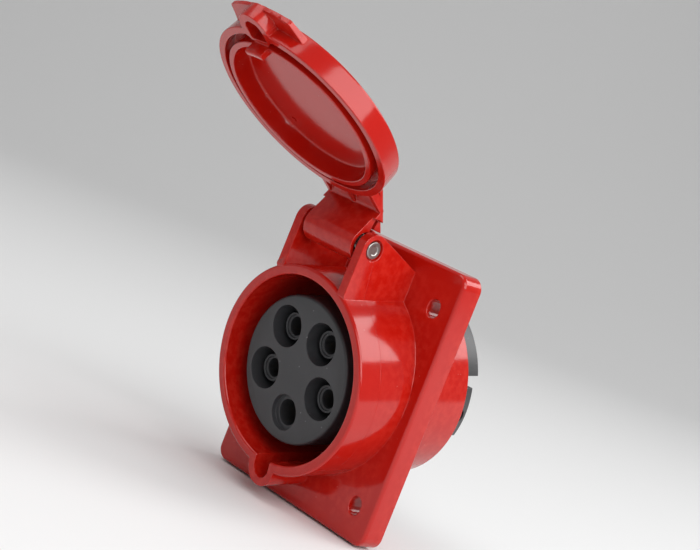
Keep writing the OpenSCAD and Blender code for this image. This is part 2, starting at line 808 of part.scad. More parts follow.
// turned contact with a slit sleeve, a clamping collar and a wire hole
module contact(front, bore_r, sleeve_r) {
    color(brass)
        difference() {
            union() {
                bore(sleeve_r, front, insert_back);
                bore(max(sleeve_r, tail_r) + contact_collar, insert_back - contact_collar_thickness, insert_back);
                bore(tail_r, insert_back - 1, tail_end);
            }
            bore(bore_r, front - 1, front + contact_bore_length, $fn = 64);
            translate([0, 0, -front - 0.5])
                cylinder(h = 0.5 + eps, r1 = bore_r, r2 = bore_r + 0.5 + eps, $fn = 64);
            for (t = [0, 90])
                rotate([0, 0, t + 45])
                    translate([-sleeve_r - 1, -slit_width / 2, -front - slit_length])
                        cube([2 * sleeve_r + 2, slit_width, slit_length + 1]);
            difference() {
                bore(sleeve_r + 1, front + ring_setback, front + ring_setback + ring_width);
                bore(sleeve_r - ring_groove, front, front + ring_setback + ring_width + 1);
            }
            bore(wire_hole_r, tail_end - wire_hole_depth, tail_end + 1, $fn = 40);
            translate([0, 0, -terminal_screw_depth])
                rotate([0, 90, 0])
                    cylinder(h = tail_r + 1, r = terminal_screw_r + 0.05, $fn = 32);
        }
}

// open steel ring that presses the slit sleeve on the pin
module spring_ring(front, sleeve_r) {
    inner = sleeve_r - ring_groove + ring_gap;
    front_end = front + ring_setback + ring_gap;
    back_end = front + ring_setback + ring_width - ring_gap;
    color(steel)
        difference() {
            bore(sleeve_r, front_end, back_end);
            bore(inner, front_end - 1, back_end + 1);
            translate([0, -ring_opening / 2, -back_end - 1])
                cube([sleeve_r + 1, ring_opening, ring_width + 2]);
        }
}

// slotted screw that clamps the wire, drawn open with its tip outside the wire hole, x along the screw
module terminal_screw() {
    tip_at = wire_hole_r + terminal_open;
    head_at = tip_at + terminal_screw_length;
    translate([0, 0, -terminal_screw_depth])
        rotate([0, 90, 0])
            difference() {
                union() {
                    translate([0, 0, tip_at])
                        cylinder(h = terminal_screw_length + eps, r = terminal_screw_r, $fn = 32);
                    translate([0, 0, head_at])
                        cylinder(h = terminal_head_height, r = terminal_head_r, $fn = 40);
                }
                translate([-terminal_head_r - 1, -screw_slot / 2, head_at + terminal_head_height / 2])
                    cube([2 * terminal_head_r + 2, screw_slot, terminal_head_height]);
            }
}

// earth contact
module contact_pe() {
    contact_frame(-90, screw_turn(-90))
        contact(earth_front, earth_bore_r, earth_sleeve_out);
}

// neutral contact
module contact_n() {
    contact_frame(line_angles[0], screw_turn(line_angles[0]))
        contact(line_front, line_bore_r, line_sleeve_out);
}

// first line contact
module contact_l1() {
    contact_frame(line_angles[1], screw_turn(line_angles[1]))
        contact(line_front, line_bore_r, line_sleeve_out);
}

// second line contact
module contact_l2() {
    contact_frame(line_angles[2], screw_turn(line_angles[2]))
        contact(line_front, line_bore_r, line_sleeve_out);
}

// third line contact
module contact_l3() {
    contact_frame(line_angles[3], screw_turn(line_angles[3]))
        contact(line_front, line_bore_r, line_sleeve_out);
}

// spring ring of the earth contact
module spring_ring_pe() {
    contact_frame(-90, screw_turn(-90))
        spring_ring(earth_front, earth_sleeve_out);
}

// spring ring of the neutral contact
module spring_ring_n() {
    contact_frame(line_angles[0], screw_turn(line_angles[0]))
        spring_ring(line_front, line_sleeve_out);
}

// spring ring of the first line contact
module spring_ring_l1() {
    contact_frame(line_angles[1], screw_turn(line_angles[1]))
        spring_ring(line_front, line_sleeve_out);
}

// spring ring of the second line contact
module spring_ring_l2() {
    contact_frame(line_angles[2], screw_turn(line_angles[2]))
        spring_ring(line_front, line_sleeve_out);
}

// spring ring of the third line contact
module spring_ring_l3() {
    contact_frame(line_angles[3], screw_turn(line_angles[3]))
        spring_ring(line_front, line_sleeve_out);
}

// the four equal screws of the line and neutral contacts
module line_terminal_screws() {
    color(steel)
        for (a = line_angles)
            contact_frame(a, screw_turn(a))
                terminal_screw();
}

// the screw of the earth contact
module pe_terminal_screw() {
    color(steel)
        contact_frame(-90, screw_turn(-90))
            terminal_screw();
}

// screws that hold the terminal carrier against the shoulder
module carrier_screws() {
    color(steel)
        socket_frame()
            at_carrier_screws()
                difference() {
                    union() {
                        bore(carrier_screw_r, carrier_plate_depth - carrier_screw_length,
                             carrier_plate_depth + eps, $fn = 24);
                        bore(carrier_head_r, carrier_plate_depth, carrier_plate_depth + carrier_head_height,
                             $fn = 40);
                    }
                    translate([-carrier_head_r - 1, -screw_slot / 2,
                               -carrier_plate_depth - carrier_head_height - 1])
                        cube([2 * carrier_head_r + 2, screw_slot, 1 + carrier_head_height / 2]);
                }
}

// riveted steel hinge pin
module hinge_pin() {
    color(steel)
        hinge_frame()
            rotate_extrude($fn = 48)
                polygon([[0, -pin_end - pin_head_height + 0.3],
                         [pin_head_r * 0.45, -pin_end - pin_head_height + 0.3],
                         [pin_head_r * 0.6, -pin_end - pin_head_height],
                         [pin_head_r - 0.3, -pin_end - pin_head_height],
                         [pin_head_r, -pin_end - pin_head_height + 0.3],
                         [pin_head_r, -pin_end],
                         [pin_r, -pin_end],
                         [pin_r, pin_end],
                         [pin_head_r, pin_end],
                         [pin_head_r, pin_end + pin_head_height - 0.3],
                         [pin_head_r - 0.3, pin_end + pin_head_height],
                         [pin_head_r * 0.6, pin_end + pin_head_height],
                         [pin_head_r * 0.45, pin_end + pin_head_height - 0.3],
                         [0, pin_end + pin_head_height - 0.3]]);
}

// round dish of the lid with its rim, groove and inner ring, in the lid frame
module lid_dish_body() {
    rotate_extrude($fn = 144)
        polygon(concat(
            [[0, -lid_thickness]],
            arc(lid_skirt_r - lid_back_edge, -lid_thickness + lid_back_edge, lid_back_edge, -90, 0, 5),
            arc(lid_rim_r - lid_rim_edge, -lid_rim_edge, lid_rim_edge, 0, 90, 4),
            [[groove_outer_r, 0], [groove_outer_r, -lid_groove_depth], [ring_outer_r, -lid_groove_depth]],
            arc(ring_outer_r - lid_ring_edge, lid_ring_height - lid_ring_edge, lid_ring_edge, 0, 90, 4),
            arc(ring_inner_r + lid_ring_edge, lid_ring_height - lid_ring_edge, lid_ring_edge, 90, 180, 4),
            [[floor_r + 0.15, -lid_floor_depth + 0.7], [floor_r - 0.3, -lid_floor_depth + 0.15],
             [floor_r - 1, -lid_floor_depth], [0, -lid_floor_depth - lid_dish]]));
}

// nose of the lid over the key channel, with its round recess cut later
module lid_nose() {
    translate([0, nose_centre, -lid_groove_depth - 1])
        cylinder(h = lid_groove_depth + 1, r = nose_r, $fn = 64);
    translate([-nose_r, groove_outer_r - 1, -lid_groove_depth - 1])
        cube([2 * nose_r, nose_centre - groove_outer_r + 1, lid_groove_depth + 1]);
}

// round recess of the nose, open to the groove
module nose_recess() {
    translate([0, nose_centre, -lid_groove_depth])
        cylinder(h = lid_groove_depth + 1, r = nose_inner_r, $fn = 48);
    translate([-nose_inner_r, ring_outer_r + lid_groove_width / 2, -lid_groove_depth])
        cube([2 * nose_inner_r, nose_centre - ring_outer_r - lid_groove_width / 2, lid_groove_depth + 1]);
}

// latch tooth on the inner ring
module latch_tooth() {
    intersection() {
        rotate_extrude($fn = 144)
            polygon([[ring_inner_r, -1], [ring_outer_r, -1],
                     [ring_outer_r, tooth_height - tooth_bevel], [ring_outer_r - tooth_bevel, tooth_height],
                     [ring_inner_r, tooth_height - tooth_bevel / 2]]);
        translate([-tooth_half, 0, -1])
            cube([2 * tooth_half, lid_rim_r, tooth_height + 2]);
    }
}

// flat shape of the thumb wing
module wing_outline() {
    root_y = sqrt(lid_skirt_r * lid_skirt_r - wing_root_half * wing_root_half) - 2;
    offset(r = wing_corner_r, $fn = 32)
        offset(delta = -wing_corner_r)
            intersection() {
                circle(r = wing_r, $fn = 160);
                polygon([[-wing_root_half - 0.6, root_y], [wing_root_half + 0.6, root_y],
                         [wing_tip_half - 0.6, wing_r + 1], [-wing_tip_half + 0.6, wing_r + 1]]);
            }
}

// thumb wing at the free end, thinner towards its edge
module thumb_wing() {
    intersection() {
        rotate_extrude($fn = 144)
            polygon([[lid_skirt_r - 4, -wing_front - wing_root_thickness],
                     [lid_skirt_r, -wing_front - wing_root_thickness],
                     [wing_r + 1, -wing_front - wing_tip_thickness],
                     [wing_r + 1, -wing_front], [lid_skirt_r - 4, -wing_front]]);
        translate([0, 0, -lid_thickness])
            linear_extrude(lid_thickness)
                wing_outline();
    }
}

// side outline of the hinge arm, x from the lid's middle to its free end, y towards its inside
module arm_outline() {
    pin = [-hinge_rise, lid_pin_h];
    down = [-sin(arm_slope), -cos(arm_slope)];
    along = [-cos(arm_slope), sin(arm_slope)];
    foot = pin + arm_back_r * down;
    start = foot - along * arm_back_length;
    heel = foot - along * arm_heel;
    polygon([
        [-floor_r - 0.8, -pocket_outer],
        [-floor_r - 0.8, start[1]],
        start,
        heel,
        touch_point(heel, pin, knuckle_r, 1),
        pin,
        [-hinge_rise + knuckle_r, lid_pin_h],
        [-hinge_rise + knuckle_r, -arm_rib_depth],
        [-hinge_rise + knuckle_r + 0.6, -pocket_inner],
        [-lid_rim_r + 0.2, -pocket_outer]
    ]);
}

// side outline of a rib between the arm and the lid's skirt, from a place inside the rim
module arm_rib_outline(inner) {
    polygon([[-inner, -pocket_outer - 0.5], [-hinge_rise + knuckle_r - 0.5, -pocket_inner - 0.7],
             [-hinge_rise + knuckle_r - 0.5, -arm_rib_depth], [-inner, -arm_rib_depth]]);
}

// extrudes a side outline of the lid between two places across it
module across(low, high) {
    rotate([90, 0, 90])
        translate([0, 0, low])
            linear_extrude(high - low)
                children();
}

// hinge arm with its barrel and three ribs, in the lid frame
module hinge_arm() {
    difference() {
        across(-arm_half, arm_half)
            arm_outline();
        for (s = [-1, 1])
            translate([s > 0 ? knuckle_half : -knuckle_half - 5, -hinge_rise, lid_pin_h])
                rotate([0, 90, 0])
                    cylinder(h = 5, r = cheek_r);
    }
    translate([-knuckle_half, -hinge_rise, lid_pin_h])
        rotate([0, 90, 0])
            cylinder(h = 2 * knuckle_half, r = knuckle_r);
    side = sqrt(groove_outer_r * groove_outer_r - pow(arm_half - arm_rib, 2)) + 0.8;
    across(-arm_half, -arm_half + arm_rib)
        arm_rib_outline(side);
    across(arm_half - arm_rib, arm_half)
        arm_rib_outline(side);
    across(-arm_mid_rib / 2, arm_mid_rib / 2)
        arm_rib_outline(groove_outer_r + lid_rim_width / 2);
}

// pin hole, spring pocket and leg slot of the hinge barrel
module knuckle_holes() {
    translate([-arm_half - 1, -hinge_rise, lid_pin_h])
        rotate([0, 90, 0])
            cylinder(h = 2 * arm_half + 2, r = pin_r + pin_gap, $fn = 48);
    translate([knuckle_half - spring_pocket_depth, -hinge_rise, lid_pin_h])
        rotate([0, 90, 0])
            cylinder(h = spring_pocket_depth + 2, r = spring_pocket_r, $fn = 60);
    translate([knuckle_half - spring_pocket_depth, -hinge_rise, lid_pin_h])
        rotate([leg_angle, 0, 0])
            translate([0, 0, -wire_r - leg_gap])
                cube([spring_pocket_depth + 2, leg_slot_reach, 2 * (wire_r + leg_gap)]);
}

// moulded lid in one piece, drawn open
module lid() {
    color(red)
        lid_frame()
            difference() {
                union() {
                    lid_dish_body();
                    lid_nose();
                    latch_tooth();
                    thumb_wing();
                    hinge_arm();
                    translate([-gate_left, -gate_down, -lid_floor_depth - lid_dish])
                        cylinder(h = gate_height + lid_dish, r = gate_r, $fn = 24);
                }
                nose_recess();
                knuckle_holes();
            }
}

// point of the coil's surface: turn angle, place round the wire
function coil_point(turn, around) =
    [(coil_r + wire_r * cos(around)) * cos(turn),
     (coil_r + wire_r * cos(around)) * sin(turn),
     spring_start + spring_pitch * (turn - leg_world) / 360 + wire_r * sin(around)];

// wire coil of the torsion spring, along the hinge pin
module coil() {
    steps = round(coil_turns * 20);
    sides = 8;
    points = [for (i = [0 : steps], j = [0 : sides - 1])
        coil_point(leg_world + 360 * coil_turns * i / steps, 360 * j / sides)];
    walls = [for (i = [0 : steps - 1], j = [0 : sides - 1], k = [0, 1])
        let (a = i * sides + j, b = i * sides + (j + 1) % sides)
        k == 0 ? [a, b, b + sides] : [a, b + sides, a + sides]];
    ends = [for (j = [1 : sides - 2], k = [0, 1])
        k == 0 ? [0, j + 1, j] : [steps * sides, steps * sides + j, steps * sides + j + 1]];
    polyhedron(points, concat(walls, ends), convexity = 10);
}

// torsion spring that closes the lid, with a leg in the lid and a tang in the ear
module lid_spring() {
    color(steel)
        hinge_frame() {
            coil();
            rotate([0, 0, leg_world])
                translate([coil_r, 0, spring_start])
                    rotate([0, 90, 0])
                        cylinder(h = leg_reach - coil_r, r = wire_r - eps, $fn = 16);
            rotate([0, 0, tang_world])
                translate([coil_r, 0, spring_start + coil_length])
                    cylinder(h = tang_end - spring_start - coil_length, r = wire_r - eps, $fn = 16);
            rotate([0, 0, leg_world])
                translate([coil_r, 0, spring_start])
                    sphere(r = wire_r * 1.08, $fn = 16);
            rotate([0, 0, tang_world])
                translate([coil_r, 0, spring_start + coil_length])
                    sphere(r = wire_r * 1.08, $fn = 16);
        }
}

housing();
flange_seal();
contact_insert();
terminal_carrier();
contact_pe();
contact_n();
contact_l1();
contact_l2();
contact_l3();
spring_ring_pe();
spring_ring_n();
spring_ring_l1();
spring_ring_l2();
spring_ring_l3();
line_terminal_screws();
pe_terminal_screw();
carrier_screws();
hinge_pin();
lid();
lid_spring();
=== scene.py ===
"""Looks of an angled panel socket with five contacts and a hinged spring lid.

Metres, Z up, the front looks along -Y, and the panel lies in the plane y = 0.
Each CAD node gets a finished copy with small rounded edges, or its own material.
"""

import math

import bmesh
import bpy
import numpy as np
from bpy.props import FloatProperty, FloatVectorProperty, PointerProperty
from mathutils import Matrix, Vector
from mathutils.bvhtree import BVHTree


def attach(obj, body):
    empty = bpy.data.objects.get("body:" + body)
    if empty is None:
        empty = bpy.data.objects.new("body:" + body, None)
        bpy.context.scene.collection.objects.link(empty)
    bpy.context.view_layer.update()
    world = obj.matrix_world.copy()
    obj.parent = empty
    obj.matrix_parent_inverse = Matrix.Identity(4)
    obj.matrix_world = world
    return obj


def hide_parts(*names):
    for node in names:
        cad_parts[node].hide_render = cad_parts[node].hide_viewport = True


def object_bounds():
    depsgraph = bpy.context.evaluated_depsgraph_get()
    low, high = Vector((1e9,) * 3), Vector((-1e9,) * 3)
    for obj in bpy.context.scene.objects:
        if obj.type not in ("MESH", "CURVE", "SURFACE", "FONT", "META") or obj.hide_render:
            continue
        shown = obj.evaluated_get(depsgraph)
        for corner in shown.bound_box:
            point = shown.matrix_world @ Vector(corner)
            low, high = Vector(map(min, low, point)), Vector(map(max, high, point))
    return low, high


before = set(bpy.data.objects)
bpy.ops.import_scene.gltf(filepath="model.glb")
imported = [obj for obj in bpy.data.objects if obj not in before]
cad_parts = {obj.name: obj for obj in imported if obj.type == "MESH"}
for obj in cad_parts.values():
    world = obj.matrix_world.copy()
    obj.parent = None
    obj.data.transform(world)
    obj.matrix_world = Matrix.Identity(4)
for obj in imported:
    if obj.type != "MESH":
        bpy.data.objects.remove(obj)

bl_info = {
    "name": "Panel socket finish",
    "version": (1, 0, 0),
    "blender": (4, 5, 0),
    "location": "View3D > Sidebar > Socket",
    "description": "Rounds, finishes and lights an angled panel socket with a spring lid",
    "category": "Object",
}

CAD_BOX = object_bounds()
MM = 0.001
WELD = 2e-6
FLAT_ANGLE = math.radians(0.4)
SHARP_ANGLE = math.radians(34)
STEP = 1.2 * MM

# the collar leans down from the panel's normal
COLLAR_TILT = math.radians(9.3)
MOUTH = Vector((0.0, -31.4 * MM, -3.4 * MM))
MOUTH_OUT = Vector((0.0, -math.cos(COLLAR_TILT), -math.sin(COLLAR_TILT)))

# middle of the hinge pin
PIN = Vector((0.0, -30.8905 * MM, 45.2822 * MM))

# bearing and height of the camera round the object
VIEW_AZIMUTH = math.radians(43.99)
VIEW_ELEVATION = math.radians(5.37)
EYE = (0.40489, -0.43884, 0.08801)

# how often the rounding of the edges is tried, and how wide a cell of its search is
ROUNDING_TURNS = 12
CELL = 2 * MM


# ---------------------------------------------------------------- node trees

def add(tree, kind, values=None, links=None, **settings):
    """A new shader node with its settings, socket values and incoming links."""
    made = tree.nodes.new(kind)
    for name, value in settings.items():
        setattr(made, name, value)
    for name, value in (values or {}).items():
        made.inputs[name].default_value = value
    for name, source in (links or {}).items():
        tree.links.new(source, made.inputs[name])
    return made


def mathnode(tree, operation, first, second=None):
    """A Math node on two sockets or numbers, its output."""
    made = add(tree, "ShaderNodeMath", operation=operation)
    for place, value in enumerate((first, second)):
        if value is None:
            continue
        if isinstance(value, (int, float)):
            made.inputs[place].default_value = value
        else:
            tree.links.new(value, made.inputs[place])
    return made.outputs[0]


def span(tree, value, low, high, to_low=0.0, to_high=1.0):
    """Maps a value from one span to another, held at both ends."""
    made = add(tree, "ShaderNodeMapRange", interpolation_type="SMOOTHSTEP",
               values={"From Min": low, "From Max": high, "To Min": to_low, "To Max": to_high})
    tree.links.new(value, made.inputs["Value"])
    return made.outputs["Result"]


def mix_colour(tree, factor, first, second):
    """A Mix node for colours, its output."""
    made = add(tree, "ShaderNodeMix", data_type="RGBA", blend_type="MIX")
    for place, value in ((0, factor), (6, first), (7, second)):
        if isinstance(value, (int, float, tuple)):
            made.inputs[place].default_value = value
        else:
            tree.links.new(value, made.inputs[place])
    return made.outputs[2]


def place(tree):
    """Where the point lies on the object, in metres."""
    return add(tree, "ShaderNodeTexCoord").outputs["Object"]


def stretched(tree, vector, scale):
    """The place scaled along each axis."""
    return add(tree, "ShaderNodeVectorMath", operation="MULTIPLY",
               values={1: scale}, links={0: vector}).outputs[0]


def noise(tree, vector, scale, detail=2.0, roughness=0.5, distortion=0.0):
    """A noise value between 0 and 1."""
    made = add(tree, "ShaderNodeTexNoise", links={"Vector": vector},
               values={"Detail": detail, "Roughness": roughness, "Distortion": distortion})
    if isinstance(scale, (int, float)):
        made.inputs["Scale"].default_value = scale
    else:
        tree.links.new(scale, made.inputs["Scale"])
    return made.outputs["Fac"]


def new_group(name, inputs, outputs):
    """An empty shader node group with named inputs and outputs."""
    tree = bpy.data.node_groups.new(name, "ShaderNodeTree")
    for label, kind, default in inputs:
        made = tree.interface.new_socket(name=label, in_out="INPUT", socket_type=kind)
        made.default_value = default
    for label, kind in outputs:
        tree.interface.new_socket(name=label, in_out="OUTPUT", socket_type=kind)
    return tree, tree.nodes.new("NodeGroupInput"), tree.nodes.new("NodeGroupOutput")


FLOAT = "NodeSocketFloat"
COLOUR = "NodeSocketColor"
VECTOR = "NodeSocketVector"


def moulded_skin_group():
    """Slow waves of a cooled moulding and its fine grain, as one height in metres."""
    tree, source, sink = new_group(
        "Moulded Skin",
        [("Wave Height", FLOAT, 0.00002), ("Wave Length", FLOAT, 0.012),
         ("Grain Height", FLOAT, 0.000002), ("Grain Length", FLOAT, 0.0004)],
        [("Height", FLOAT), ("Patches", FLOAT)])
    spot = place(tree)
    wave_scale = mathnode(tree, "DIVIDE", 1.0, source.outputs["Wave Length"])
    grain_scale = mathnode(tree, "DIVIDE", 1.0, source.outputs["Grain Length"])
    waves = noise(tree, spot, wave_scale, detail=1.0)
    grain = noise(tree, spot, grain_scale, detail=3.0, roughness=0.6)
    height = mathnode(tree, "ADD",
                      mathnode(tree, "MULTIPLY", waves, source.outputs["Wave Height"]),
                      mathnode(tree, "MULTIPLY", grain, source.outputs["Grain Height"]))
    patches = noise(tree, spot, mathnode(tree, "MULTIPLY", wave_scale, 0.7), detail=4.0, roughness=0.55)
    tree.links.new(height, sink.inputs["Height"])
    tree.links.new(patches, sink.inputs["Patches"])
    return tree


def handling_group():
    """Fine rubbed lines and finger smudges, each a mask from 0 to 1."""
    tree, source, sink = new_group(
        "Handling Marks",
        [("Line Amount", FLOAT, 0.4), ("Smudge Amount", FLOAT, 0.5)],
        [("Lines", FLOAT), ("Smudges", FLOAT)])
    spot = place(tree)
    first = noise(tree, stretched(tree, spot, (900.0, 900.0, 60.0)), 1.0, detail=2.0, distortion=0.4)
    second = noise(tree, stretched(tree, spot, (70.0, 1100.0, 900.0)), 1.0, detail=2.0, distortion=0.3)
    lines = mathnode(tree, "MAXIMUM", span(tree, first, 0.66, 0.74), span(tree, second, 0.67, 0.75))
    where = span(tree, noise(tree, spot, 55.0, detail=3.0), 0.5, 0.66)
    lines = mathnode(tree, "MULTIPLY", lines, where)
    lines = mathnode(tree, "MULTIPLY", lines, source.outputs["Line Amount"])
    smudges = span(tree, noise(tree, spot, 85.0, detail=5.0, roughness=0.62, distortion=0.6), 0.48, 0.72)
    tree.links.new(lines, sink.inputs["Lines"])
    smudges = mathnode(tree, "MULTIPLY", smudges, source.outputs["Smudge Amount"])
    tree.links.new(smudges, sink.inputs["Smudges"])
    return tree


def dust_group():
    """Small pale specks of dust, a mask from 0 to 1."""
    tree, source, sink = new_group(
        "Dust Specks", [("Speck Size", FLOAT, 0.0009), ("Share", FLOAT, 0.1)], [("Mask", FLOAT)])
    spot = place(tree)
    cells = add(tree, "ShaderNodeTexVoronoi", links={"Vector": spot})
    tree.links.new(mathnode(tree, "DIVIDE", 1.0, source.outputs["Speck Size"]), cells.inputs["Scale"])
    near = span(tree, cells.outputs["Distance"], 0.06, 0.16, 1.0, 0.0)
    chosen = mathnode(tree, "LESS_THAN",
                      add(tree, "ShaderNodeSeparateColor",
                          links={"Color": cells.outputs["Color"]}).outputs[0], source.outputs["Share"])
    tree.links.new(mathnode(tree, "MULTIPLY", near, chosen), sink.inputs["Mask"])
    return tree


def line_group():
    """A thin band where a plane cuts the surface: 1 in the band, 0 away from it."""
    tree, source, sink = new_group(
        "Plane Line",
        [("Direction", VECTOR, (0.0, 0.0, 1.0)), ("Offset", FLOAT, 0.0), ("Half Width", FLOAT, 0.0001)],
        [("Mask", FLOAT)])
    along = add(tree, "ShaderNodeVectorMath", operation="DOT_PRODUCT",
                links={0: place(tree), 1: source.outputs["Direction"]}).outputs["Value"]
    away = mathnode(tree, "ABSOLUTE", mathnode(tree, "SUBTRACT", along, source.outputs["Offset"]))
    share = mathnode(tree, "DIVIDE", away, source.outputs["Half Width"])
    tree.links.new(span(tree, share, 0.4, 1.0, 1.0, 0.0), sink.inputs["Mask"])
    return tree


def axis_group():
    """Distance from an axis and the place along it."""
    tree, source, sink = new_group(
        "Round An Axis",
        [("Point", VECTOR, (0.0, 0.0, 0.0)), ("Direction", VECTOR, (0.0, 0.0, 1.0))],
        [("Distance", FLOAT), ("Along", FLOAT)])
    offset = add(tree, "ShaderNodeVectorMath", operation="SUBTRACT",
                 links={0: place(tree), 1: source.outputs["Point"]}).outputs[0]
    along = add(tree, "ShaderNodeVectorMath", operation="DOT_PRODUCT",
                links={0: offset, 1: source.outputs["Direction"]}).outputs["Value"]
    side = add(tree, "ShaderNodeVectorMath", operation="CROSS_PRODUCT",
               links={0: offset, 1: source.outputs["Direction"]}).outputs[0]
    distance = add(tree, "ShaderNodeVectorMath", operation="LENGTH", links={0: side}).outputs["Value"]
    tree.links.new(distance, sink.inputs["Distance"])
    tree.links.new(along, sink.inputs["Along"])
    return tree


GROUPS = {}


def group(tree, name, values=None, links=None):
    """Places one of the shared groups in a material."""
    makers = {"Moulded Skin": moulded_skin_group, "Handling Marks": handling_group,
              "Dust Specks": dust_group, "Plane Line": line_group, "Round An Axis": axis_group}
    if name not in GROUPS:
        GROUPS[name] = makers[name]()
    made = tree.nodes.new("ShaderNodeGroup")
    made.node_tree = GROUPS[name]
    for label, value in (values or {}).items():
        made.inputs[label].default_value = value
    for label, value in (links or {}).items():
        tree.links.new(value, made.inputs[label])
    return made


def blank_material(name):
    """A material with only its shader and output."""
    made = bpy.data.materials.new(name)
    made.use_nodes = True
    tree = made.node_tree
    tree.nodes.clear()
    sink = tree.nodes.new("ShaderNodeOutputMaterial")
    shader = tree.nodes.new("ShaderNodeBsdfPrincipled")
    tree.links.new(shader.outputs[0], sink.inputs["Surface"])
    return made, tree, shader


def relief(tree, shader, height):
    """Feeds a height in metres to the shader's normal."""
    bump = add(tree, "ShaderNodeBump", values={"Strength": 1.0, "Distance": 1.0}, links={"Height": height})
    tree.links.new(bump.outputs[0], shader.inputs["Normal"])


def red_plastic(name, colour, gloss, streaks):
    """Glossy red moulded plastic with slow waves, painted highlights on the rounded rims and fine marks."""
    made, tree, shader = blank_material(name)
    skin = group(tree, "Moulded Skin", {"Wave Height": 0.00003, "Wave Length": 0.011,
                                        "Grain Height": 0.0000012, "Grain Length": 0.0005})
    marks = group(tree, "Handling Marks", {"Line Amount": 0.5, "Smudge Amount": 0.5})
    dust = group(tree, "Dust Specks", {"Speck Size": 0.0012, "Share": 0.03})
    # pale is a paler red, used for the rubbed lines (wear) and for the painted highlights on the rims
    pale = (min(1.0, colour[0] * 1.2), colour[1] * 1.9 + 0.01, colour[2] * 1.9 + 0.008, 1.0)
    deep = (colour[0] * 0.95, colour[1] * 0.85, colour[2] * 0.85, 1.0)
    tint = mix_colour(tree, span(tree, skin.outputs["Patches"], 0.3, 0.7), deep, (*colour, 1.0))
    rim = add(tree, "ShaderNodeAttribute", attribute_name="rim").outputs["Fac"]
    # painted highlight: the rounded rims are mixed in noisy patches up to about half way towards the paler
    # red
    painted_rim_highlight = mathnode(tree, "MULTIPLY", rim, span(tree, noise(tree, place(tree), 420.0, detail=3.0), 0.35, 0.7))
    tint = mix_colour(tree, mathnode(tree, "MULTIPLY", painted_rim_highlight, 0.55), tint, pale)
    tint = mix_colour(tree, mathnode(tree, "MULTIPLY", marks.outputs["Lines"], 0.25), tint, pale)
    dusty = mathnode(tree, "MULTIPLY", dust.outputs["Mask"], 0.5)
    tint = mix_colour(tree, dusty, tint, (0.6, 0.35, 0.3, 1.0))
    tree.links.new(tint, shader.inputs["Base Color"])
    rough = mathnode(tree, "ADD", mathnode(tree, "MULTIPLY", marks.outputs["Smudges"], 0.12), gloss)
    rough = mathnode(tree, "ADD", rough, mathnode(tree, "MULTIPLY", marks.outputs["Lines"], 0.2))
    height = skin.outputs["Height"]
    if streaks:
        axis = group(tree, "Round An Axis", {"Point": tuple(PIN), "Direction": (1.0, 0.0, 0.0)})
        near = span(tree, axis.outputs["Distance"], 0.010, 0.016, 1.0, 0.0)
        across = stretched(tree, place(tree), (40.0, 2600.0, 2600.0))
        draw = noise(tree, across, 1.0, detail=3.0, roughness=0.6)
        near_draw = mathnode(tree, "MULTIPLY", near, draw)
        height = mathnode(tree, "ADD", height, mathnode(tree, "MULTIPLY", near_draw, 0.000008))
        rough = mathnode(tree, "ADD", rough, mathnode(tree, "MULTIPLY", near_draw, 0.16))
    else:
        axis = group(tree, "Round An Axis", {"Point": tuple(MOUTH), "Direction": tuple(MOUTH_OUT)})
        outside = span(tree, axis.outputs["Distance"], 0.0350, 0.0353)
        line = group(tree, "Plane Line", {"Direction": tuple(MOUTH_OUT),
                                          "Offset": MOUTH.dot(MOUTH_OUT) - 0.0094, "Half Width": 0.00016})
        seam = mathnode(tree, "MULTIPLY", outside, line.outputs["Mask"])
        height = mathnode(tree, "ADD", height, mathnode(tree, "MULTIPLY", seam, 0.00004))
    tree.links.new(rough, shader.inputs["Roughness"])
    shader.inputs["IOR"].default_value = 1.5
    relief(tree, shader, height)
    return made


def dark_plastic(name, colour, gloss, dust_share):
    """Satin dark moulded plastic with a fine eroded grain, smudges, specks of dust and painted highlights on
    the rounded rims.
    """
    made, tree, shader = blank_material(name)
    skin = group(tree, "Moulded Skin", {"Wave Height": 0.00003, "Wave Length": 0.009,
                                        "Grain Height": 0.00001, "Grain Length": 0.0003})
    marks = group(tree, "Handling Marks", {"Line Amount": 0.6, "Smudge Amount": 1.0})
    dust = group(tree, "Dust Specks", {"Speck Size": 0.0016, "Share": dust_share})
    # pale is a paler grey, used for the smudges and for the painted highlights on the rims
    pale = (colour[0] * 1.7 + 0.01, colour[1] * 1.7 + 0.01, colour[2] * 1.7 + 0.01, 1.0)
    deep = (colour[0] * 0.8, colour[1] * 0.8, colour[2] * 0.8, 1.0)
    tint = mix_colour(tree, span(tree, skin.outputs["Patches"], 0.3, 0.7), deep, (*colour, 1.0))
    tint = mix_colour(tree, mathnode(tree, "MULTIPLY", marks.outputs["Smudges"], 0.3), tint, pale)
    rim = add(tree, "ShaderNodeAttribute", attribute_name="rim").outputs["Fac"]
    # painted highlight: the rounded rims are mixed a quarter of the way towards the paler grey
    tint = mix_colour(tree, mathnode(tree, "MULTIPLY", rim, 0.25), tint, pale)
    dusty = mathnode(tree, "MULTIPLY", dust.outputs["Mask"], 0.6)
    tint = mix_colour(tree, dusty, tint, (0.35, 0.35, 0.36, 1.0))
    tree.links.new(tint, shader.inputs["Base Color"])
    rough = mathnode(tree, "ADD", mathnode(tree, "MULTIPLY", marks.outputs["Smudges"], 0.12), gloss)
    rough = mathnode(tree, "ADD", rough, mathnode(tree, "MULTIPLY", marks.outputs["Lines"], -0.12))
    tree.links.new(rough, shader.inputs["Roughness"])
    relief(tree, shader, skin.outputs["Height"])
    return made


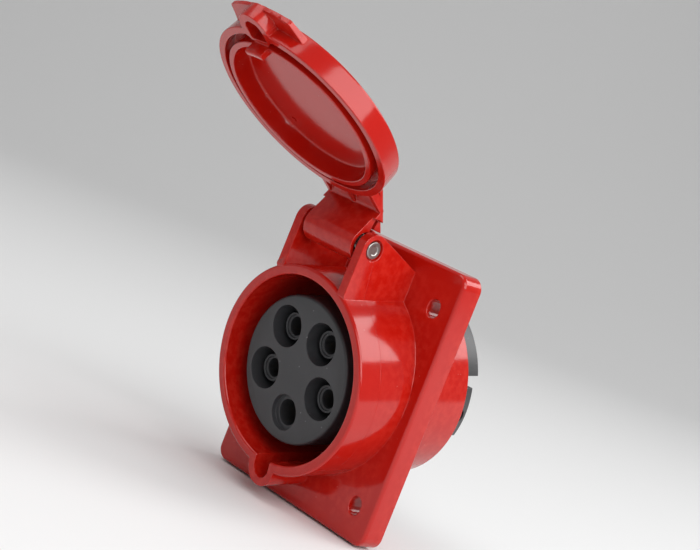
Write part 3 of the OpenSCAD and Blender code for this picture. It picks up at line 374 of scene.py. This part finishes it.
def metal(name, colour, gloss, stretch, tarnish):
    """Bare metal with fine drawn or turned lines and a soft tarnish."""
    made, tree, shader = blank_material(name)
    spot = place(tree)
    lines = noise(tree, stretched(tree, spot, stretch), 1.0, detail=4.0, roughness=0.65)
    cloud = noise(tree, spot, 260.0, detail=5.0, roughness=0.6)
    dull = (colour[0] * 0.6, colour[1] * 0.55, colour[2] * 0.5, 1.0)
    tarnished = mathnode(tree, "MULTIPLY", span(tree, cloud, 0.4, 0.75), tarnish)
    tint = mix_colour(tree, tarnished, (*colour, 1.0), dull)
    tree.links.new(tint, shader.inputs["Base Color"])
    rough = mathnode(tree, "ADD", mathnode(tree, "MULTIPLY", lines, 0.22), gloss)
    tree.links.new(rough, shader.inputs["Roughness"])
    shader.inputs["Metallic"].default_value = 1.0
    relief(tree, shader, mathnode(tree, "MULTIPLY", lines, 0.000006))
    return made


def rubber(name, colour):
    """Matt black rubber with a fine grain and a little dust."""
    made, tree, shader = blank_material(name)
    skin = group(tree, "Moulded Skin", {"Wave Height": 0.00002, "Wave Length": 0.006,
                                        "Grain Height": 0.00002, "Grain Length": 0.00035})
    dust = group(tree, "Dust Specks", {"Speck Size": 0.0011, "Share": 0.25})
    tint = mix_colour(tree, span(tree, skin.outputs["Patches"], 0.35, 0.75), (*colour, 1.0),
                      (colour[0] * 1.8, colour[1] * 1.8, colour[2] * 1.8, 1.0))
    dusty = mathnode(tree, "MULTIPLY", dust.outputs["Mask"], 0.4)
    tint = mix_colour(tree, dusty, tint, (0.3, 0.29, 0.28, 1.0))
    tree.links.new(tint, shader.inputs["Base Color"])
    shader.inputs["Roughness"].default_value = 0.78
    relief(tree, shader, skin.outputs["Height"])
    return made


# ---------------------------------------------------------------- meshes

def welded(node):
    """A bmesh of a CAD node with its loose triangles welded and its flat faces joined.

    Its sharp edges carry a bevel weight of 1, and are split so that none is longer than STEP.
    """
    mesh = bmesh.new()
    mesh.from_mesh(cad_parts[node].data)
    bmesh.ops.remove_doubles(mesh, verts=mesh.verts, dist=WELD)
    bmesh.ops.dissolve_degenerate(mesh, dist=0.04 * MM, edges=mesh.edges)
    bmesh.ops.dissolve_limit(mesh, angle_limit=FLAT_ANGLE, use_dissolve_boundaries=False,
                             verts=mesh.verts, edges=mesh.edges, delimit={"NORMAL"})
    weight = mesh.edges.layers.float.new("bevel_weight_edge")
    sharp = [edge for edge in mesh.edges
             if len(edge.link_faces) == 2 and edge.calc_face_angle(0.0) > SHARP_ANGLE]
    for edge in sharp:
        edge[weight] = 1.0
        for parts in range(math.ceil(edge.calc_length() / STEP), 1, -1):
            bmesh.utils.edge_split(edge, edge.verts[0], 1.0 / parts)[0][weight] = 1.0
    return mesh


def column(items, name, width, kind=np.float32):
    """One property of a mesh's items as an array, one row for each item."""
    values = np.empty(len(items) * width, kind)
    items.foreach_get(name, values)
    return values.reshape(-1, width) if width > 1 else values


def cells_of(points):
    """The number of the cell that each point lies in."""
    place_in = np.floor(points / CELL).astype(np.int64) + 512
    return place_in @ np.array([1 << 20, 1 << 10, 1])


def folded(mesh, skin, width, cells):
    """Corners of the triangles that face away from the CAD surface or leave it, in some cells."""
    mesh.calc_loop_triangles()
    corners = column(mesh.loop_triangles, "vertices", 3, np.int32)
    points = column(mesh.vertices, "co", 3).astype(float)[corners]
    cross = np.cross(points[:, 1] - points[:, 0], points[:, 2] - points[:, 0])
    size = np.linalg.norm(cross, axis=1)
    normals = cross / np.maximum(size, 1e-30)[:, None]
    middles = points.mean(1)
    asked = size > 4e-11
    if cells is not None:
        asked &= np.isin(cells_of(middles), cells)
    wrong = []
    for k in np.nonzero(asked)[0]:
        normal, spot = Vector(normals[k]), Vector(middles[k])
        _, facing, _, away = skin.find_nearest(spot)
        if away < 0.7 * width and normal.dot(facing) > 0:
            continue
        near = skin.find_nearest_range(spot, 0.7 * width)
        if not near or max(normal.dot(face[1]) for face in near) < -0.1:
            wrong.append(k)
    return points[wrong].reshape(-1, 3)


def rounded(node, name, width, segments):
    """A mesh of a CAD node whose sharp edges are rounded, and less so where there is no room.

    Wherever a rounded edge folds over a neighbour, the weights of the edges there come down,
    first by half and then to nothing, until no triangle is folded.
    """
    source = bmesh.new()
    source.from_mesh(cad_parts[node].data)
    skin = BVHTree.FromBMesh(source)
    source.free()
    mesh = welded(node)
    data = bpy.data.meshes.new(name + "_plain")
    mesh.to_mesh(data)
    mesh.free()
    for slot in ("skin", "rim"):
        data.materials.append(bpy.data.materials.new(name + "_" + slot))
    weights = column(data.attributes["bevel_weight_edge"].data, "value", 1)
    ends = column(data.edges, "vertices", 2, np.int32)
    spots = column(data.vertices, "co", 3).astype(float)
    start, run = spots[ends[:, 0]], spots[ends[:, 1]] - spots[ends[:, 0]]
    length = np.maximum((run ** 2).sum(1), 1e-18)
    piece = bpy.data.objects.new(name + "_plain", data)
    bpy.context.scene.collection.objects.link(piece)
    bevel = piece.modifiers.new("Rounded edges", "BEVEL")
    bevel.limit_method = "WEIGHT"
    bevel.width = width
    bevel.segments = segments
    bevel.material = 1
    bevel.loop_slide = True
    bevel.use_clamp_overlap = False
    around = np.stack(np.meshgrid(*[(-CELL, 0.0, CELL)] * 3), -1).reshape(-1, 3)
    cells = None
    for turn in range(ROUNDING_TURNS):
        data.attributes["bevel_weight_edge"].data.foreach_set("value", weights)
        data.update()
        graph = bpy.context.evaluated_depsgraph_get()
        made = bpy.data.meshes.new_from_object(piece.evaluated_get(graph))
        faults = folded(made, skin, width, cells)
        if not len(faults):
            break
        faults = np.unique(np.round(faults / (0.05 * MM)), axis=0) * 0.05 * MM
        live = np.nonzero(weights > 0)[0]
        reach = width * (1.1 if turn < 5 else 1.8)
        hit = np.zeros(len(weights), bool)
        for spot in faults:
            share = np.clip(((spot - start[live]) * run[live]).sum(1) / length[live], 0, 1)
            gap = np.linalg.norm(start[live] + share[:, None] * run[live] - spot, axis=1)
            hit[live[gap < reach]] = True
        weights[hit] = np.where((weights[hit] > 0.3) & (turn < 4), weights[hit] * 0.45, 0.0)
        near = np.concatenate([start[hit], start[hit] + run[hit], faults])
        cells = np.unique(cells_of((near[:, None] + around).reshape(-1, 3)))
    bpy.data.objects.remove(piece)
    return made


def finished(node, name, body, material, width, segments=2):
    """Replaces a CAD node by a copy with rounded edges and a rim attribute on the roundings."""
    data = rounded(node, name, width, segments)
    on_rim = column(data.polygons, "material_index", 1, np.int32) == 1
    counts = column(data.polygons, "loop_total", 1, np.int32)
    mask = np.zeros(len(data.vertices), np.float32)
    mask[column(data.loops, "vertex_index", 1, np.int32)[np.repeat(on_rim, counts)]] = 1.0
    data.attributes.new("rim", "FLOAT", "POINT").data.foreach_set("value", mask)
    data.materials.clear()
    data.polygons.foreach_set("material_index", np.zeros(len(data.polygons), np.int32))
    data.name = name
    return hang(data, name, body, material, [node])


def hang(data, name, body, material, nodes):
    """Makes an object of a finished mesh, shades it smooth and rides it on its body."""
    data.polygons.foreach_set("use_smooth", np.ones(len(data.polygons), bool))
    data.set_sharp_from_angle(angle=SHARP_ANGLE)
    data.materials.append(material)
    piece = bpy.data.objects.new(name, data)
    bpy.context.scene.collection.objects.link(piece)
    weigh = piece.modifiers.new("Even normals", "WEIGHTED_NORMAL")
    weigh.keep_sharp = True
    weigh.weight = 80
    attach(piece, body)
    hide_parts(*nodes)
    return piece


# ---------------------------------------------------------------- settings

def colour_setting(name, description, default):
    """A colour property of the settings."""
    return FloatVectorProperty(name=name, description=description, default=default,
                               size=3, min=0.0, max=1.0, subtype="COLOR")


class PlasticSettings(bpy.types.PropertyGroup):
    """Colours and edges of the plastic pieces."""
    red: colour_setting("Red", "Colour of the housing and the lid", (0.43, 0.007, 0.003))
    red_gloss: FloatProperty(name="Red roughness", description="Roughness of the red plastic", default=0.12,
                             min=0.02, max=1.0, subtype="FACTOR")
    red_edge: FloatProperty(name="Red edge", description="Rounding of the red plastic's edges",
                            default=0.28 * MM, min=0.0, max=0.5 * MM, unit="LENGTH", precision=5)
    insert: colour_setting("Insert", "Colour of the contact insert", (0.030, 0.030, 0.033))
    insert_gloss: FloatProperty(name="Insert roughness", description="Roughness of the insert", default=0.42,
                                min=0.02, max=1.0, subtype="FACTOR")
    carrier: colour_setting("Carrier", "Colour of the terminal carrier", (0.040, 0.040, 0.042))
    rubber: colour_setting("Seal", "Colour of the rubber seal", (0.012, 0.012, 0.012))


class MetalSettings(bpy.types.PropertyGroup):
    """Colours of the metal pieces."""
    steel: colour_setting("Steel", "Colour of the pin and the springs", (0.36, 0.34, 0.33))
    zinc: colour_setting("Zinc", "Colour of the plated screws", (0.66, 0.66, 0.68))
    brass: colour_setting("Brass", "Colour of the contacts", (0.72, 0.52, 0.22))


class StageSettings(bpy.types.PropertyGroup):
    """Camera, light and floor."""
    lens: FloatProperty(name="Lens", description="Focal length on a 36 mm sensor", default=89.5,
                        min=20, max=300)
    roll: FloatProperty(name="Roll", description="Roll of the camera about its line of sight",
                        default=math.radians(21.48), subtype="ANGLE")
    key: FloatProperty(name="Key light", description="Strength of the three soft lights", default=1.0,
                       min=0.0)
    fill: FloatProperty(name="Fill", description="Strength of the even light from all sides", default=0.3,
                        min=0.0)


def fresh_material(name, maker, *values):
    """The material of this name, made once."""
    old = bpy.data.materials.get(name)
    if old:
        return old
    return maker(name, *values)


# ---------------------------------------------------------------- operators

class SOCKET_OT_housing(bpy.types.Operator):
    """Rounds and finishes the red housing with its flange, collar and barrel"""
    bl_idname = "socket.housing"
    bl_label = "Housing"

    def execute(self, context):
        s = context.scene.socket_plastic
        red = fresh_material("Red Housing Plastic", red_plastic, tuple(s.red), s.red_gloss, False)
        finished("housing", "housing_moulding", "socket", red, s.red_edge)
        return {"FINISHED"}


class SOCKET_OT_lid(bpy.types.Operator):
    """Rounds and finishes the red lid with its hinge arm"""
    bl_idname = "socket.lid"
    bl_label = "Lid"

    def execute(self, context):
        s = context.scene.socket_plastic
        red = fresh_material("Red Lid Plastic", red_plastic, tuple(s.red), s.red_gloss, True)
        finished("lid", "lid_moulding", "cover", red, s.red_edge)
        return {"FINISHED"}


class SOCKET_OT_insert(bpy.types.Operator):
    """Rounds and finishes the dark contact insert and the grey terminal carrier"""
    bl_idname = "socket.insert"
    bl_label = "Insert and carrier"

    def execute(self, context):
        s = context.scene.socket_plastic
        dark = fresh_material("Insert Plastic", dark_plastic, tuple(s.insert), s.insert_gloss, 0.12)
        grey = fresh_material("Carrier Plastic", dark_plastic, tuple(s.carrier), 0.36, 0.05)
        finished("contact_insert", "insert_moulding", "socket", dark, 0.2 * MM)
        finished("terminal_carrier", "carrier_moulding", "socket", grey, 0.2 * MM)
        return {"FINISHED"}


class SOCKET_OT_seal(bpy.types.Operator):
    """Finishes the rubber seal in the flange's back"""
    bl_idname = "socket.seal"
    bl_label = "Seal"

    def execute(self, context):
        s = context.scene.socket_plastic
        black = fresh_material("Seal Rubber", rubber, tuple(s.rubber))
        finished("flange_seal", "seal_frame", "socket", black, 0.2 * MM)
        return {"FINISHED"}


class SOCKET_OT_contacts(bpy.types.Operator):
    """Finishes the five brass contacts and their spring rings"""
    bl_idname = "socket.contacts"
    bl_label = "Contacts and rings"

    def execute(self, context):
        s = context.scene.socket_metal
        brass = fresh_material("Turned Brass", metal, tuple(s.brass), 0.18, (900.0, 5200.0, 900.0), 0.6)
        wire = fresh_material("Spring Steel", metal, tuple(s.steel), 0.16, (2200.0, 700.0, 2200.0), 0.4)
        for pole in ("pe", "n", "l1", "l2", "l3"):
            for start, material in (("contact_", brass), ("spring_ring_", wire)):
                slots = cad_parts[start + pole].data.materials
                slots.clear()
                slots.append(material)
        return {"FINISHED"}


class SOCKET_OT_fasteners(bpy.types.Operator):
    """Finishes the terminal screws and the carrier screws"""
    bl_idname = "socket.fasteners"
    bl_label = "Screws"

    def execute(self, context):
        s = context.scene.socket_metal
        zinc = fresh_material("Plated Screw Steel", metal, tuple(s.zinc), 0.22, (1500.0, 1500.0, 1500.0), 0.5)
        for node, name in (("line_terminal_screws", "line_screws"), ("pe_terminal_screw", "earth_screw"),
                           ("carrier_screws", "back_screws")):
            finished(node, name, "socket", zinc, 0.12 * MM)
        return {"FINISHED"}


class SOCKET_OT_hinge(bpy.types.Operator):
    """Finishes the hinge pin and the torsion spring"""
    bl_idname = "socket.hinge"
    bl_label = "Hinge pin and spring"

    def execute(self, context):
        s = context.scene.socket_metal
        steel = fresh_material("Pin Steel", metal, tuple(s.steel), 0.2, (300.0, 2500.0, 2500.0), 0.5)
        wire = fresh_material("Spring Steel", metal, tuple(s.steel), 0.16, (2200.0, 700.0, 2200.0), 0.4)
        finished("hinge_pin", "pin_riveted", "socket", steel, 0.12 * MM)
        finished("lid_spring", "spring_wire", "cover", wire, 0.0)
        return {"FINISHED"}


def bearing(azimuth, elevation):
    """The direction from the object to a place round it; azimuth 0 is in front of it."""
    return Vector((math.sin(azimuth) * math.cos(elevation), -math.cos(azimuth) * math.cos(elevation),
                   math.sin(elevation)))


def area_light(name, azimuth, elevation, distance, wide, high, power, target):
    """A soft light that looks at a point from a bearing round the object."""
    back = bearing(azimuth, elevation)
    light = bpy.data.lights.new(name, "AREA")
    light.shape = "RECTANGLE"
    light.size = wide
    light.size_y = high
    light.energy = power
    lamp = bpy.data.objects.new(name, light)
    turn = back.to_track_quat("Z", "Y").to_matrix().to_4x4()
    lamp.matrix_world = Matrix.Translation(target + back * distance) @ turn
    bpy.context.scene.collection.objects.link(lamp)


class SOCKET_OT_stage(bpy.types.Operator):
    """Makes the camera, the soft lights and the pale floor"""
    bl_idname = "socket.stage"
    bl_label = "Stage"

    def execute(self, context):
        s = context.scene.socket_stage
        scene = context.scene
        scene.view_settings.view_transform = "Standard"
        # camera
        back = bearing(VIEW_AZIMUTH, VIEW_ELEVATION)
        right = Vector((0, 0, 1)).cross(back).normalized()
        up = back.cross(right)
        turned_right = math.cos(s.roll) * right + math.sin(s.roll) * up
        turned_up = -math.sin(s.roll) * right + math.cos(s.roll) * up
        camera = bpy.data.cameras.new("Camera")
        camera.lens = s.lens
        camera.sensor_width = 36.0
        camera.clip_start = 0.01
        camera.clip_end = 20.0
        eye = bpy.data.objects.new("Camera", camera)
        eye.matrix_world = Matrix((
            (turned_right.x, turned_up.x, back.x, EYE[0]), (turned_right.y, turned_up.y, back.y, EYE[1]),
            (turned_right.z, turned_up.z, back.z, EYE[2]), (0, 0, 0, 1)))
        scene.collection.objects.link(eye)
        scene.camera = eye
        # lights
        target = Vector((0.0, -0.02, 0.02))
        area_light("Key softbox", math.radians(78), math.radians(30), 1.0, 1.25, 0.75, 10.5 * s.key, target)
        area_light("Back softbox", math.radians(148), math.radians(42), 1.0, 0.65, 0.5, 4.2 * s.key, target)
        area_light("Top softbox", math.radians(-30), math.radians(62), 1.1, 0.8, 0.6, 3.2 * s.key, target)
        world = bpy.data.worlds.new("World")
        world.use_nodes = True
        world.node_tree.nodes["Background"].inputs[0].default_value = (1.0, 1.0, 1.0, 1.0)
        world.node_tree.nodes["Background"].inputs[1].default_value = s.fill
        scene.world = world
        # floor and backdrop as one seamless sheet
        low = CAD_BOX[0].z - 0.0006
        sheet = sweep_sheet(low)
        scene.collection.objects.link(sheet)
        return {"FINISHED"}


def sweep_sheet(low):
    """A pale sheet: flat floor that turns up in a quarter circle behind the object.

    Along the sheet's run u the height is 0 on the floor, r(1 - cos a) and the reach
    d + r sin a on the bend, then straight up; v carries it sideways.
    """
    away = np.array([-math.sin(VIEW_AZIMUTH), math.cos(VIEW_AZIMUTH), 0.0])
    side = np.array([math.cos(VIEW_AZIMUTH), math.sin(VIEW_AZIMUTH), 0.0])
    bend_r, reach = 0.9, 0.8
    angles = np.linspace(0, math.pi / 2, 33)
    run = np.concatenate([[-1.4, 0.0, reach], reach + bend_r * np.sin(angles[1:]), [reach + bend_r]])
    rise = np.concatenate([[0.0, 0.0, 0.0], bend_r * (1 - np.cos(angles[1:])), [2.4]])
    across = np.linspace(-2.2, 2.2, 9)
    points = (run[:, None, None] * away + across[None, :, None] * side
              + rise[:, None, None] * np.array([0, 0, 1.0]) + np.array([0, 0, low]))
    rows, cols = points.shape[:2]
    i, j = np.meshgrid(np.arange(rows - 1), np.arange(cols - 1), indexing="ij")
    corner = (i * cols + j).ravel()
    faces = np.stack([corner, corner + 1, corner + cols + 1, corner + cols], 1)
    data = bpy.data.meshes.new("backdrop")
    data.from_pydata(points.reshape(-1, 3).tolist(), [], faces.tolist())
    data.polygons.foreach_set("use_smooth", np.ones(len(faces), bool))
    made, tree, shader = blank_material("Backdrop Paper")
    shader.inputs["Base Color"].default_value = (0.80, 0.80, 0.80, 1.0)
    shader.inputs["Roughness"].default_value = 0.9
    data.materials.append(made)
    return bpy.data.objects.new("backdrop", data)


class SOCKET_PT_panel(bpy.types.Panel):
    """Lists the pieces of the socket and their settings"""
    bl_idname = "SOCKET_PT_panel"
    bl_label = "Panel socket"
    bl_space_type = "VIEW_3D"
    bl_region_type = "UI"
    bl_category = "Socket"

    def draw(self, context):
        for label in ("socket_plastic", "socket_metal", "socket_stage"):
            settings = getattr(context.scene, label)
            box = self.layout.box()
            for name in settings.__annotations__:
                box.prop(settings, name)
        for operator in PIECES:
            self.layout.operator(operator.bl_idname)


PIECES = (SOCKET_OT_housing, SOCKET_OT_lid, SOCKET_OT_insert, SOCKET_OT_seal, SOCKET_OT_contacts,
          SOCKET_OT_fasteners, SOCKET_OT_hinge, SOCKET_OT_stage)
CLASSES = (PlasticSettings, MetalSettings, StageSettings, *PIECES, SOCKET_PT_panel)


def register():
    for item in CLASSES:
        bpy.utils.register_class(item)
    bpy.types.Scene.socket_plastic = PointerProperty(type=PlasticSettings)
    bpy.types.Scene.socket_metal = PointerProperty(type=MetalSettings)
    bpy.types.Scene.socket_stage = PointerProperty(type=StageSettings)


def unregister():
    del bpy.types.Scene.socket_plastic
    del bpy.types.Scene.socket_metal
    del bpy.types.Scene.socket_stage
    for item in reversed(CLASSES):
        bpy.utils.unregister_class(item)


def main():
    register()
    bpy.ops.socket.housing()
    bpy.ops.socket.lid()
    bpy.ops.socket.insert()
    bpy.ops.socket.seal()
    bpy.ops.socket.contacts()
    bpy.ops.socket.fasteners()
    bpy.ops.socket.hinge()
    bpy.ops.socket.stage()


if __name__ == "__main__":
    main()
